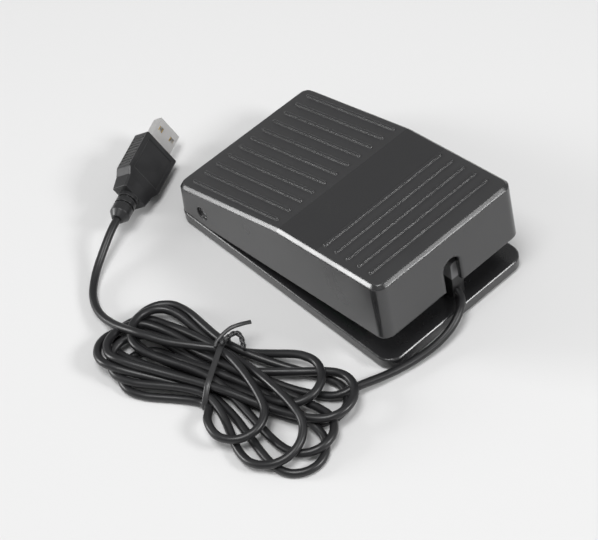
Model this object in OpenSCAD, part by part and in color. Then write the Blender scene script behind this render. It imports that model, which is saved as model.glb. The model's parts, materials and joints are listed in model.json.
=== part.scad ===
// Foot pedal switch with a lead: a hinged wedge cover over a flat base, a snap-action
// switch and a small board inside, and a tied hank of cord that ends in a flat plug.
// X runs across the pedal, the cord leaves at the front (-Y), the hinge is at the rear (+Y),
// and the rubber feet stand on Z = 0.

/* [Base] */
// Width of the base
base_w = 74.6; // [70:0.1:80]
// Length of the base, front to rear
base_l = 124.2; // [120:0.1:130]
// Height of the base's edge
base_edge_h = 4.6; // [4:0.1:6]
// Radius of the base's corners in plan
base_corner_r = 6.5; // [4:0.5:9]
// Thickness of the base's top skin
base_skin = 2.4; // [2:0.1:2.8]
// Thickness of the base's skirt
base_skirt = 2; // [1.6:0.1:2.6]
// Width of the small bevel along the base's top edge
base_bevel = 0.5; // [0.3:0.1:0.8]
// Thickness of the ribs under the base
under_rib_t = 1.4; // [1.2:0.1:1.8]
// How far the rubber feet stand out below the base
foot_drop = 1.2; // [0.8:0.1:1.6]
// Diameter of a rubber foot
foot_d = 11; // [9:0.5:13]
// Distance of a foot's middle from the base's side
foot_in = 10.5; // [9:0.5:12]

/* [Cover] */
// How far the base stands out beside the cover's lower edge
side_margin = 0.45; // [0.3:0.05:1]
// How far the top's front edge stands behind the base's front end
front_margin = 3; // [2.6:0.1:3.6]
// How far the top's rear edge stands inside the base's rear end
rear_margin = 1; // [0.8:0.1:1.4]
// Height of the cover's front edge above the floor
cover_front_h = 46; // [44:0.1:48]
// Height of the crease between the two top planes
crease_h = 38.4; // [37:0.1:40]
// Height of the cover's rear edge
cover_rear_h = 20; // [19:0.1:22]
// Place of the crease along the pedal
crease_y = -2.7; // [-6:0.1:2]
// Wall thickness of the cover
cover_wall = 2.4; // [2:0.1:2.8]
// Radius of the cover's upright corners
cover_corner_r = 4.6; // [4:0.1:6]
// Width of the bevel round the top
edge_bevel = 1.5; // [0.8:0.1:2]
// Draft of the side walls in degrees
side_draft = 1.2; // [0.5:0.1:1.6]
// Draft of the front wall in degrees
front_draft = 3.9; // [2:0.1:4.2]
// Gap between the cover and the base beside the hinge
slit_rear = 0.4; // [0.3:0.05:0.6]
// Gap between the cover and the base at the front
slit_front = 12.6; // [11:0.1:14]
// Distance from the hinge axis to the place where the slit starts to open
slit_start = 2.6; // [2:0.1:5]

/* [Tread ribs] */
// Distance between neighbouring ribs
rib_pitch = 6.3; // [6:0.05:6.4]
// Width of a rib
rib_w = 1.2; // [0.8:0.1:1.6]
// Height of a rib above the top
rib_h = 0.7; // [0.4:0.1:1]
// Number of ribs along the rear plane
long_rib_count = 11; // [7:2:11]
// Number of ribs across the front plane
cross_rib_count = 5; // [3:1:5]

/* [Notch] */
// Width of the bevel round the notch
notch_bevel = 0.7; // [0.3:0.1:0.9]
// Width of the notch in the front wall
notch_w = 9; // [7:0.1:10]
// Height of the notch's round top above the floor
notch_top_h = 33.6; // [30:0.1:35]

/* [Hinge] */
// Distance of the hinge axis from the base's rear end
hinge_back = 16.6; // [16:0.1:18]
// Height of the hinge axis
hinge_h = 13.3; // [12.8:0.1:14]
// Diameter of the hinge pin
pin_d = 5; // [4:0.1:5]
// Radial clearance of the cover on its pin
pin_clearance = 0.05; // [0.03:0.01:0.08]
// Diameter of the recess over each pin end
pin_recess_d = 6.2; // [5.6:0.1:7]

/* [Switch] */
// Length of the snap-action switch
switch_l = 27.8; // [27:0.1:28]
// Width of the switch
switch_w = 10.3; // [10:0.1:10.6]
// Height of the switch body
switch_h = 15.9; // [15.5:0.1:16]
// Diameter of the plunger
plunger_d = 3; // [2:0.1:3.4]
// Length of the lever from its pivot
lever_l = 26; // [24:0.5:27]
// Rise of the resting lever in degrees
lever_rise = 10; // [9:0.1:10.5]

/* [Spring] */
// Outer diameter of the return spring
spring_d = 14; // [12:0.5:15]
// Diameter of the spring wire
spring_wire_d = 1.2; // [1:0.1:1.6]
// Number of turns
spring_turns = 7; // [5:1:9]

/* [Board] */
// Width of the circuit board
board_w = 19; // [18:0.5:20]
// Length of the circuit board
board_l = 27; // [26:0.5:28]

/* [Cord] */
// Diameter of the cord
cord_d = 3.4; // [3:0.1:3.6]
// Height of the tied hank
hank_h = 12; // [9:0.5:14]

/* [Plug] */
// Width of the plug's metal shell
shell_w = 12; // [12:0.1:12.1]
// Thickness of the metal shell
shell_t = 4.5; // [4.4:0.1:4.6]
// Length of the metal shell outside the body
shell_l = 12; // [11.75:0.05:12.5]
// Width of the moulded plug body
plug_w = 18.8; // [18.2:0.1:19.2]
// Thickness of the moulded plug body
plug_t = 8.5; // [8.2:0.1:8.8]
// Length of the moulded plug body
plug_l = 28; // [27:0.5:29]

/* [Hidden] */
$fn = 48;
hull_fn = 32;
bite = 0.4;

// Heights of the base
base_under = foot_drop;
base_top = foot_drop + base_edge_h;

// Places that follow the base's ends
hinge_y = base_l / 2 - hinge_back;
slit_start_y = hinge_y - slit_start;
cover_front_y = front_margin - base_l / 2;
cover_rear_y = base_l / 2 - rear_margin;

// The cover's planes: slopes, thickness below them, and walls that widen downwards
rear_slope = (crease_h - cover_rear_h) / (cover_rear_y - crease_y);
front_slope = (cover_front_h - crease_h) / (crease_y - cover_front_y);
rear_tilt = atan(rear_slope);
front_tilt = atan(front_slope);
top_t = 2.6;
cover_low = 3;
cover_foot = base_top + slit_rear;
sliver = 0.02;
function top_z(y) = y > crease_y ? crease_h - rear_slope * (y - crease_y)
    : crease_h + front_slope * (crease_y - y);
function ceiling_z(y) = top_z(y) - top_t / cos(y > crease_y ? rear_tilt : front_tilt);
function half_w(z) = base_w / 2 - side_margin - tan(side_draft) * (z - cover_foot);
function front_y(z) = cover_front_y - tan(front_draft) * (cover_front_h - z);
function rear_y(z) = cover_rear_y + tan(side_draft) * (cover_rear_h - z);
function slit_z(y) = cover_foot
    + max(0, (slit_start_y - y) * (slit_front - slit_rear) / (slit_start_y - cover_front_y));

// Hinge: lugs of the base inside, bosses of the cover outside
lug_t = 4.6;
lug_r = 5.6;
boss_gap = 0.4;
boss_deep = 2.7;
boss_in = half_w(hinge_h) - cover_wall - boss_deep;
lug_in = boss_in - boss_gap - lug_t;
pin_sunk = 1.3;
pin_end = half_w(hinge_h) - pin_sunk;
recess_gap = 0.2;
recess_from = pin_end + recess_gap;

// Switch: place of its middle, seat height, pivot of the lever, plunger and striker
switch_y = 5.9;
switch_seat_h = 2.2;
switch_z = base_top + switch_seat_h;
switch_top = switch_z + switch_h;
switch_hole_d = 3.1;
switch_hole_pitch = 22.2;
switch_hole_up = 2.8;
switch_hole_z = switch_z + switch_hole_up;
lever_back = 11.1;
lever_up = 1.1;
lever_y = switch_y + lever_back;
lever_z = switch_top + lever_up;
lever_t = 0.4;
lever_w = 5;
lever_pin_r = 0.7;
plunger_back = 5.1;
plunger_up = 1.65;
plunger_y = switch_y + plunger_back;
plunger_top = switch_top + plunger_up;
plunger_len = 6.5;
striker_y = -4;
striker_r = 2;
striker_z = 31.25;
striker_w = 7;
bracket_t = 3;
bracket_h = 14;
blade_l = 6.4;
blade_w = 3.4;
blade_pitch = 3.2;
blade_up = 4;
blade_z = switch_z + blade_up;
blade_eye_in = 1.8;

// Return spring and its seats
spring_y = -27;
spring_top = 33;
spring_seat_d = 18;
spring_nose_d = 5;
spring_nose_h = 4;
spring_ring_t = 1.4;
spring_ring_h = 2;

// Circuit board
board_side = 6.3;
board_x = board_side + board_w / 2 - base_w / 2;
board_y = -26.5;
board_t = 1.6;
board_post_h = 4;
board_z = base_top + board_post_h;
board_top = board_z + board_t;
board_inset = 2.5;
header_h = 6;
header_floor = 1.2;
header_t = 5.4;
cord_header_in = 4.5;
cord_header_y = board_y - board_l / 2 + cord_header_in;
switch_header_in = 2.5;
switch_header_back = 4;
switch_header_x = board_x + board_w / 2 - switch_header_in;
switch_header_y = board_y + switch_header_back;

// Stops: hooks on the base that hold the cover down, and posts that end its travel
hook_in = 10.3;
hook_x = base_w / 2 - hook_in;
hook_y = -4;
hook_l = 8;
hook_t = 3;
hook_top = 27;
barb = 2.2;
barb_h = 2.4;
hook_gap = 0.3;
stop_in = 2;
stop_x = hook_x - stop_in;
stop_pad_d = 9;
stop_to_board = 0.6;
stop_y = board_y - board_l / 2 - stop_pad_d / 2 - stop_to_board;
stop_pad_h = 2.2;
stop_post_d = 6;
full_press = 4.2;
stop_spare = 0.5;
stop_post_z = base_top + stop_pad_h + (hinge_y - stop_y) * sin(full_press) + stop_spare;

// Cord: where it leaves, its fixings inside and its route outside
cord_r = cord_d / 2;
exit_x = 4.4;
anchor_behind = 2.1;
exit_y = cover_front_y + anchor_behind;
exit_z = 9.3;
anchor_x1 = 2.3;
anchor_x2 = 8.3;
anchor_l = 5.5;
anchor_h = 20;
clamp_behind = 9;
clamp_y = exit_y + clamp_behind;
clamp_l = 6;
clamp_w = 17;
clamp_t = 2;
cord_tail = 5;
cord_inner_end = clamp_y + cord_tail;
cord_sides = 8;
run_route = [[exit_x, exit_y, exit_z], [4.3, -58, 9], [3.2, -60.2, 8.4], [1, -62.4, 8], [-2, -64.2, 7.4],
    [-6, -65.6, 6.2], [-11, -66.4, 4.8], [-17, -66.4, 3.6], [-23, -65.8, 3], [-29.4, -64.8, 2.8],
    [-35.6, -63.6, 3], [-41.6, -62, 3.4], [-47.4, -60.2, 4], [-53.2, -58.4, 4.4]];
lead_route = [[-94.8, 34.6, 5.5], [-94.6, 41, 3.9], [-93.5, 46.4, 3], [-91.5, 51.2, 2.6],
    [-88.9, 55.2, 2.6], [-85.8, 58.4, 2.9], [-82.4, 61.2, 3.6], [-78.7, 63.6, 4.6],
    [-74.8, 65.6, 6], [-71, 67.4, 7.5], [-67.2, 69.2, 8.8], [-63.6, 70.8, 9.7], [-60.2, 72.3, 10]];
hank_left = [[-98.5, 22.5, 13.2], [-98, 9, 13.8], [-82.5, 19.5, 13.2]];
hank_waist = [-83, -13.5, 15.5];
hank_right = [-76.5, -54.5, 24];
tie_turn = 31;
tie_w = 3.4;
tie_t = 1;

// Plug: where its front face lies and how it is turned
plug_at = [-24, 90.1, 10.6];
plug_turn = [1.6, 58, -62.4];
neck_l = 12.2;
neck_d = 8.6;
shell_wall = 0.35;
shell_sunk = 3;
shell_floor = 0.5;
tongue_t = 1.9;

module slab(w, l, h, r) {
    for (x = [-1, 1], y = [-1, 1]) {
        translate([x * (w / 2 - r), y * (l / 2 - r), 0]) cylinder(h = h, r = r);
    }
    translate([-w / 2 + r, -l / 2, 0]) cube([w - 2 * r, l, h]);
    translate([-w / 2, -l / 2 + r, 0]) cube([w, l - 2 * r, h]);
}

module box_at(x, y, z, w, l, h) {
    translate([x - w / 2, y - l / 2, z]) cube([w, l, h]);
}

module along_x(x1, x2, y, z, d) {
    translate([x1, y, z]) rotate([0, 90, 0]) cylinder(h = x2 - x1, d = d);
}

module side_profile(x1, x2, points) {
    translate([x1, 0, 0]) rotate([90, 0, 90]) linear_extrude(height = x2 - x1) polygon(points);
}

// A drafted wedge under the two top planes; inset moves every face inwards
module wedge(inset, drop, bevel) {
    r = cover_corner_r - inset;
    side = cover_corner_r;
    hull() {
        for (x = [-1, 1]) {
            for (y = [front_y(cover_low) + side, rear_y(cover_low) - side]) {
                translate([x * (half_w(cover_low) - side), y, cover_low])
                    cylinder(h = sliver, r = r, $fn = hull_fn);
            }
            top_corner(x, front_y(cover_front_h) + side, -front_tilt, cover_front_h, r, drop, bevel);
            top_corner(x, rear_y(cover_rear_h) - side, -rear_tilt, cover_rear_h, r, drop, bevel);
        }
        box_at(0, crease_y, crease_h - drop - sliver,
            2 * (half_w(crease_h) - inset - bevel), sliver, sliver);
        box_at(0, crease_y, crease_h - drop - bevel - sliver,
            2 * (half_w(crease_h) - inset), sliver, sliver);
    }
}

module top_corner(side_sign, y, tilt, edge_z, r, drop, bevel) {
    collar = max(bevel, sliver);
    translate([side_sign * (half_w(edge_z) - cover_corner_r), y, top_z(y) - drop])
        rotate([tilt, 0, 0]) translate([0, 0, -collar])
            cylinder(h = collar, r1 = r, r2 = r - bevel, $fn = hull_fn);
}

module tread_ribs() {
    crease_gap = 4.1;
    rear_gap = 6.7;
    side_gap = 4.8;
    front_gap = 9;
    rear_from = crease_y + crease_gap;
    rear_len = cover_rear_y - rear_gap - rear_from;
    cross_half = half_w(cover_front_h) - side_gap;
    cross_from = cover_front_y + front_gap + (cross_rib_count - 1) * rib_pitch;
    for (i = [0 : long_rib_count - 1]) {
        x = (i - (long_rib_count - 1) / 2) * rib_pitch;
        translate([x - rib_w / 2, rear_from, top_z(rear_from)]) rotate([-rear_tilt, 0, 0])
            translate([0, 0, -bite]) cube([rib_w, rear_len / cos(rear_tilt), bite + rib_h]);
    }
    for (i = [0 : cross_rib_count - 1]) {
        y = cross_from - i * rib_pitch;
        translate([-cross_half, y, top_z(y)]) rotate([-front_tilt, 0, 0])
            translate([0, -rib_w / 2, -bite]) cube([2 * cross_half, rib_w, bite + rib_h]);
    }
}

// Ribs below the ceiling: one line per side, and one across near each end
module cover_stiffeners() {
    depth = 4;
    rib_t = 1.6;
    end_gap = 5.1;
    rear_end = cover_rear_y - 2 * end_gap;
    front_end = cover_front_y + end_gap;
    cross_from_hinge = 18.5;
    line_x = hook_x - 10;
    for (x = [-line_x, line_x]) {
        side_profile(x - rib_t / 2, x + rib_t / 2, [
            [front_end, ceiling_z(front_end) + bite], [crease_y, ceiling_z(crease_y) + bite],
            [rear_end, ceiling_z(rear_end) + bite], [rear_end, ceiling_z(rear_end) - depth / 2],
            [crease_y, ceiling_z(crease_y) - depth], [front_end, ceiling_z(front_end) - depth]]);
    }
    for (y = [front_end + 2 * end_gap, hinge_y - cross_from_hinge]) {
        box_at(0, y, ceiling_z(y) - depth, base_w, rib_t, depth + bite);
    }
}

module cover_fittings() {
    boss_reach = boss_deep + cover_wall + bite;
    boss_d = 2 * (lug_r - 0.1);
    for (s = [-1, 1]) {
        translate([s * (boss_in + boss_reach / 2), 0, 0])
            along_x(-boss_reach / 2, boss_reach / 2, hinge_y, hinge_h, boss_d);
        stop_top = ceiling_z(stop_y) + bite;
        translate([s * stop_x, stop_y, stop_post_z])
            cylinder(h = stop_top - stop_post_z, d = stop_post_d);
        catch_arm(s);
    }
    striker_top = ceiling_z(striker_y) + bite;
    along_x(-striker_w / 2, striker_w / 2, striker_y, striker_z, 2 * striker_r);
    box_at(0, striker_y, striker_z, striker_w, 2 * striker_r, striker_top - striker_z);
    translate([0, spring_y, spring_top])
        cylinder(h = ceiling_z(spring_y) + bite - spring_top, d = spring_seat_d);
    translate([0, spring_y, spring_top - spring_nose_h])
        cylinder(h = spring_nose_h + bite, d = spring_nose_d);
}

// An arm that hangs outside the hook, with a ledge that rests up against its barb
module catch_arm(s) {
    arm_gap = 0.6;
    ledge_gap = 0.5;
    arm_in = hook_x + hook_t / 2 + barb + arm_gap;
    arm_t = 1.8;
    ledge_z = hook_top - barb_h - hook_gap;
    ledge_t = 2.2;
    ledge_in = hook_x + hook_t / 2 + ledge_gap;
    arm_top = ceiling_z(hook_y) + bite;
    box_at(s * (arm_in + arm_t / 2), hook_y, ledge_z - ledge_t, arm_t, hook_l,
        arm_top - ledge_z + ledge_t);
    box_at(s * (ledge_in + (arm_in - ledge_in + bite) / 2), hook_y, ledge_z - ledge_t,
        arm_in - ledge_in + bite, hook_l, ledge_t);
}

module below_slit() {
    far = base_l;
    low = -foot_drop;
    side_profile(-far, far, [[-far, low], [-far, slit_z(-far)], [slit_start_y, slit_z(slit_start_y)],
        [far, slit_z(far)], [far, low]]);
}

module arch(r, high, deep) {
    translate([-r, 0, 0]) cube([2 * r, deep, high - r]);
    translate([0, 0, high - r]) rotate([-90, 0, 0]) cylinder(h = deep, r = r, $fn = hull_fn);
}

// The notch, and a bevel that follows the lean of the front wall
module notch_cut() {
    arch_r = notch_w / 2;
    deep = 6 * cover_wall;
    translate([0, front_y(0) - bite, 0]) arch(arch_r, notch_top_h, deep);
    translate([0, front_y(0), 0]) rotate([-front_draft, 0, 0]) hull() {
        translate([0, -sliver, 0]) arch(arch_r + notch_bevel, notch_top_h + notch_bevel, sliver);
        translate([0, notch_bevel, 0]) arch(arch_r, notch_top_h, sliver);
    }
}

module pedal_cover() {
    color([0.07, 0.07, 0.075]) difference() {
        union() {
            difference() {
                wedge(0, 0, edge_bevel);
                wedge(cover_wall, top_t, 0);
                notch_cut();
            }
            tread_ribs();
            intersection() {
                union() {
                    cover_stiffeners();
                    cover_fittings();
                }
                wedge(cover_wall / 2, top_t / 2, 0);
            }
        }
        below_slit();
        along_x(-base_w, base_w, hinge_y, hinge_h, pin_d + 2 * pin_clearance);
        for (s = [-1, 1]) {
            translate([s * (recess_from + cover_wall), 0, 0])
                along_x(-cover_wall, cover_wall, hinge_y, hinge_h, pin_recess_d);
        }
    }
}

module hinge_lug(s) {
    box_at(s * (lug_in + lug_t / 2), hinge_y, base_top - bite, lug_t, 2 * lug_r,
        hinge_h - base_top + bite);
    translate([s * (lug_in + lug_t / 2), 0, 0])
        along_x(-lug_t / 2, lug_t / 2, hinge_y, hinge_h, 2 * lug_r);
}

module base_hook(s) {
    box_at(s * hook_x, hook_y, base_top - bite, hook_t, hook_l, hook_top - base_top + bite);
    box_at(s * (hook_x + hook_t / 2 + barb / 2 - bite / 2), hook_y, hook_top - barb_h,
        barb + bite, hook_l, barb_h);
}

module base_upper() {
    for (s = [-1, 1]) {
        hinge_lug(s);
        base_hook(s);
    }
    seat_w = 8;
    seat_l = 5;
    seat_apart = 9.5;
    bracket_spare = 1;
    post_d = 4.6;
    ring_in = spring_d + 0.6;
    for (y = [-seat_apart, seat_apart]) {
        box_at(0, switch_y + y, base_top - bite, seat_w, seat_l, switch_seat_h + bite);
    }
    box_at(switch_w / 2 + bracket_t / 2, switch_y, base_top - bite, bracket_t,
        switch_l + bracket_spare, bracket_h + bite);
    for (x = [-1, 1], y = [-1, 1]) {
        translate([board_x + x * (board_w / 2 - board_inset),
            board_y + y * (board_l / 2 - board_inset), base_top - bite])
            cylinder(h = board_post_h + bite, d = post_d);
    }
    translate([0, spring_y, base_top - bite]) difference() {
        cylinder(h = spring_ring_h + bite, d = ring_in + 2 * spring_ring_t);
        translate([0, 0, bite]) cylinder(h = 2 * spring_ring_h, d = ring_in);
    }
}

// The top of the base's plate: it draws in by the width of its bevel
module base_rim() {
    low = base_top - base_bevel;
    hull() {
        translate([0, 0, low - sliver]) slab(base_w, base_l, sliver, base_corner_r, $fn = hull_fn);
        translate([0, 0, base_top - sliver]) slab(base_w - 2 * base_bevel, base_l - 2 * base_bevel,
            sliver, base_corner_r - base_bevel, $fn = hull_fn);
    }
}

module base_tray() {
    under_h = base_edge_h - base_skin;
    inset = 1.5 * base_skirt;
    across = hook_x - 12;
    middle = base_l / 2 - 26;
    foot_boss_d = foot_d + 4;
    pocket_deep = 1;
    screw_hole_d = switch_hole_d - 0.1;
    color([0.06, 0.06, 0.065]) difference() {
        union() {
            difference() {
                union() {
                    translate([0, 0, base_under])
                        slab(base_w, base_l, base_edge_h - base_bevel, base_corner_r);
                    base_rim();
                }
                translate([0, 0, base_under - 1])
                    slab(base_w - 2 * base_skirt, base_l - 2 * base_skirt, under_h + 1,
                        base_corner_r - base_skirt);
            }
            for (y = [-middle, 0, middle]) {
                box_at(0, y, base_under, base_w - inset, under_rib_t, under_h + bite);
            }
            for (x = [-across, across]) {
                box_at(x, 0, base_under, under_rib_t, base_l - inset, under_h + bite);
            }
            each_foot() translate([0, 0, base_under])
                cylinder(h = under_h + bite, d = foot_boss_d);
            base_upper();
        }
        each_foot() cylinder(h = base_under + pocket_deep, d = foot_d);
        along_x(-base_w, base_w, hinge_y, hinge_h, pin_d);
        for (y = [-1, 1]) {
            along_x(switch_w / 2 - bite, switch_w / 2 + bracket_t + bite,
                switch_y + y * switch_hole_pitch / 2, switch_hole_z, screw_hole_d);
        }
    }
}

module each_foot() {
    foot_end_in = foot_in + 1;
    for (x = [-1, 1], y = [-1, 1]) {
        translate([x * (base_w / 2 - foot_in), y * (base_l / 2 - foot_end_in), 0]) children();
    }
}

module rubber_feet() {
    fitted_d = foot_d - 0.6;
    round_off = 0.5;
    seat_deep = 1;
    color([0.11, 0.11, 0.11]) each_foot() {
        cylinder(h = round_off, d1 = fitted_d - 2 * round_off, d2 = fitted_d);
        translate([0, 0, round_off])
            cylinder(h = base_under + seat_deep - round_off, d = fitted_d);
    }
}

module stop_pads() {
    color([0.13, 0.13, 0.13]) for (s = [-1, 1]) {
        translate([s * stop_x, stop_y, base_top]) cylinder(h = stop_pad_h, d = stop_pad_d);
    }
}

module hinge_pin() {
    chamfer = 0.4;
    color([0.7, 0.7, 0.72]) {
        along_x(-pin_end + chamfer, pin_end - chamfer, hinge_y, hinge_h, pin_d);
        for (s = [-1, 1]) {
            translate([s * (pin_end - chamfer), hinge_y, hinge_h]) rotate([0, s * 90, 0])
                cylinder(h = chamfer, d1 = pin_d, d2 = pin_d - 2 * chamfer);
        }
    }
}

// The spring's rings: a flat ring at each end and round ones along the coil between them
module return_spring() {
    mean_r = (spring_d - spring_wire_d) / 2;
    per_turn = 12;
    wire_sides = 6;
    flat_turn = 0.75;
    low = base_top + spring_wire_d / 2;
    high = spring_top - spring_wire_d / 2;
    function at(t) = [mean_r * cos(360 * t), mean_r * sin(360 * t),
        low + (high - low) * min(1, max(0, (t - flat_turn) / (spring_turns - 2 * flat_turn)))];
    color([0.72, 0.72, 0.74]) translate([0, spring_y, 0])
        swept([for (i = [0 : per_turn * spring_turns]) at(i / per_turn)], spring_wire_d / 2,
            wire_sides);
}

// A round bar swept along points: a ring at each, square to the way through its neighbours
steep = 0.9;
function unit(v) = v / norm(v);
function heading(p, i) = unit(p[min(i + 1, len(p) - 1)] - p[max(i - 1, 0)]);
function ring_at(c, dir, r, sides) =
    let (a = unit(cross(dir, abs(dir[2]) > steep ? [0, 1, 0] : [0, 0, 1])), b = cross(dir, a))
    [for (k = [0 : sides - 1]) c + r * (cos(360 * k / sides) * a + sin(360 * k / sides) * b)];
module swept(route, r, sides) {
    n = len(route);
    rings = [for (i = [0 : n - 1]) each ring_at(route[i], heading(route, i), r, sides)];
    walls = [for (i = [0 : n - 2], k = [0 : sides - 1])
        let (a = i * sides + k, b = i * sides + (k + 1) % sides) each
        [[a, b, b + sides], [a, b + sides, a + sides]]];
    caps = [[for (k = [0 : sides - 1]) sides - 1 - k],
        [for (k = [0 : sides - 1]) (n - 1) * sides + k]];
    polyhedron(points = rings, faces = concat(walls, caps), convexity = 6);
}

module switch_body() {
    pocket_d = plunger_d + 0.1;
    pocket_deep = 6.4;
    ear_t = 1;
    ear_l = 3;
    ear_gap = 0.4;
    ear_up = 1.2;
    color([0.09, 0.09, 0.1]) difference() {
        box_at(0, switch_y, switch_z, switch_w, switch_l, switch_h);
        for (y = [-1, 1]) {
            along_x(-switch_w, switch_w, switch_y + y * switch_hole_pitch / 2, switch_hole_z,
                switch_hole_d);
        }
        translate([0, plunger_y, switch_top - pocket_deep])
            cylinder(h = pocket_deep + bite, d = pocket_d);
    }
    color([0.09, 0.09, 0.1]) for (s = [-1, 1]) {
        box_at(s * (lever_w / 2 + ear_gap + ear_t / 2), lever_y, switch_top - bite, ear_t, ear_l,
            lever_up + ear_up + bite);
    }
}

module switch_plunger() {
    tip = 0.5;
    tip_d = plunger_d - 1.2;
    color([0.75, 0.12, 0.1]) translate([0, plunger_y, plunger_top - plunger_len]) {
        cylinder(h = plunger_len - tip, d = plunger_d);
        translate([0, 0, plunger_len - tip])
            cylinder(h = tip, d1 = plunger_d, d2 = tip_d);
    }
}

module switch_lever() {
    color([0.75, 0.76, 0.78]) translate([0, lever_y, lever_z]) {
        along_x(-lever_w / 2, lever_w / 2, 0, 0, 2 * lever_pin_r);
        rotate([-lever_rise, 0, 0])
            translate([-lever_w / 2, -lever_l, -lever_t / 2]) cube([lever_w, lever_l, lever_t]);
    }
}

module switch_terminals() {
    blade_t = 0.5;
    eye_d = 1.3;
    color([0.8, 0.7, 0.35]) for (x = [-blade_pitch, 0, blade_pitch]) {
        difference() {
            box_at(x, switch_y - switch_l / 2 - blade_l / 2, blade_z, blade_t, blade_l, blade_w);
            along_x(x - blade_t, x + blade_t, switch_y - switch_l / 2 - blade_l + blade_eye_in,
                blade_z + blade_w / 2, eye_d);
        }
    }
}

module switch_screws() {
    head_h = 1.8;
    head_d = 5.4;
    slot_w = 0.8;
    slot_deep = 0.8;
    shank_d = switch_hole_d - 0.1;
    head_x = -switch_w / 2 - head_h;
    color([0.7, 0.7, 0.7]) for (y = [-1, 1]) {
        yy = switch_y + y * switch_hole_pitch / 2;
        difference() {
            union() {
                along_x(-switch_w / 2, switch_w / 2 + bracket_t, yy, switch_hole_z, shank_d);
                along_x(head_x, -switch_w / 2, yy, switch_hole_z, head_d);
            }
            box_at(head_x, yy, switch_hole_z - slot_w / 2, 2 * slot_deep, 2 * head_d, slot_w);
            box_at(head_x, yy, switch_hole_z - head_d, 2 * slot_deep, slot_w, 2 * head_d);
        }
    }
}

module board_corners() {
    for (x = [-1, 1], y = [-1, 1]) {
        translate([board_x + x * (board_w / 2 - board_inset),
            board_y + y * (board_l / 2 - board_inset), 0]) children();
    }
}

module circuit_board() {
    hole_d = 2.4;
    color([0.05, 0.32, 0.16]) difference() {
        box_at(board_x, board_y, board_z, board_w, board_l, board_t);
        board_corners() translate([0, 0, board_z - bite])
            cylinder(h = board_t + 2 * bite, d = hole_d);
    }
}

module board_screws() {
    shank_d = 2.2;
    head_d = 4;
    color([0.7, 0.7, 0.7]) board_corners() {
        translate([0, 0, board_z]) cylinder(h = board_t, d = shank_d);
        translate([0, 0, board_top]) screw_head(head_d, 1.2, 0.6);
    }
}

// A round head with a cross in it
module screw_head(d, h, slot_w) {
    slot_deep = 0.45 * h;
    difference() {
        cylinder(h = h, d = d);
        for (turn = [0, 90]) {
            rotate([0, 0, turn]) box_at(0, 0, h - slot_deep, slot_w, 0.75 * d, 2 * slot_deep);
        }
    }
}

module usb_chip() {
    chip = 7;
    chip_h = 1.3;
    chip_up = 0.1;
    leg_l = 1.2;
    leg_w = 0.4;
    leg_h = 0.5;
    leg_pitch = 1.2;
    legs = 5;
    leg_mid = chip / 2 + leg_l / 2 - leg_w / 2;
    color([0.1, 0.1, 0.1]) box_at(board_x, board_y, board_top + chip_up, chip, chip, chip_h);
    color([0.8, 0.8, 0.8]) for (side = [0 : 90 : 270], i = [0 : legs - 1]) {
        translate([board_x, board_y, board_top]) rotate([0, 0, side])
            box_at(leg_mid, (i - (legs - 1) / 2) * leg_pitch, 0, leg_l, leg_w, leg_h);
    }
}

// Small parts: capacitors in a column, resistors in a row and one round capacitor
module board_parts() {
    chip_l = 2;
    chip_w = 1.3;
    chip_h = 0.9;
    column_x = board_x - board_w / 2 + 3.5;
    column_pitch = 2.5;
    row_y = board_y - 5.6;
    row_pitch = 2.4;
    round_d = 4;
    round_h = 5;
    round_in = 2.6;
    color([0.62, 0.5, 0.35]) for (i = [0 : 3]) {
        box_at(column_x, board_y + (i - 1.5) * column_pitch, board_top, chip_l, chip_w, chip_h);
    }
    color([0.15, 0.15, 0.16]) for (i = [0 : 2]) {
        box_at(board_x + (i - 1) * row_pitch, row_y, board_top, chip_w, chip_l / 2, chip_h / 2);
    }
    color([0.2, 0.25, 0.4]) translate([board_x, board_y + board_l / 2 - round_in, board_top])
        cylinder(h = round_h, d = round_d);
}

module crystal() {
    can_l = 10;
    can_w = 3.6;
    can_h = 3.4;
    can_r = 1.7;
    can_x = board_x - 1;
    can_y = board_y + 6.6;
    color([0.75, 0.75, 0.76]) translate([can_x, can_y, board_top])
        slab(can_l, can_w, can_h, can_r);
}

// A wire header: an open box on the board
module header(x, y, w, l) {
    wall = 0.8;
    difference() {
        box_at(x, y, board_top, w, l, header_h);
        box_at(x, y, board_top + header_floor, w - 2 * wall, l - 2 * wall, header_h);
    }
}

module cord_header() {
    header_w = 9.6;
    color([0.9, 0.88, 0.8]) header(board_x, cord_header_y, header_w, header_t);
}

module switch_header() {
    header_l = 7.6;
    color([0.9, 0.88, 0.8]) header(switch_header_x, switch_header_y, header_t - 1, header_l);
}

module inner_wires() {
    wire_r = 0.4;
    gap = 0.85;
    spread = 2.2;
    rise = 3.4;
    sides = 6;
    head_y = cord_header_y;
    high = board_top + header_h + rise;
    floor_z = board_top + header_floor;
    colours = [[0.75, 0.1, 0.1], [0.85, 0.85, 0.85], [0.1, 0.5, 0.2], [0.08, 0.08, 0.08]];
    for (i = [0 : 3]) {
        s = (i - 1.5) * gap;
        hx = board_x + spread * s;
        mid_x = (exit_x + board_x) / 2;
        color(colours[i]) swept([
            [exit_x + s, cord_inner_end, exit_z],
            [exit_x + s, cord_inner_end + 1.4 + s / 2, exit_z + wire_r],
            [exit_x - 1, cord_inner_end + 3 + s, exit_z + 2 * rise / 3],
            [mid_x + 3, cord_inner_end + 3.4 + s, high - rise / 3],
            [mid_x - 4, head_y + s, high], [hx + 3, head_y + s, high - 0.3],
            [hx + 0.6, head_y + s, high - 1.6], [hx, head_y + s, high - rise],
            [hx, head_y + s, floor_z]], wire_r, sides);
    }
}

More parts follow.
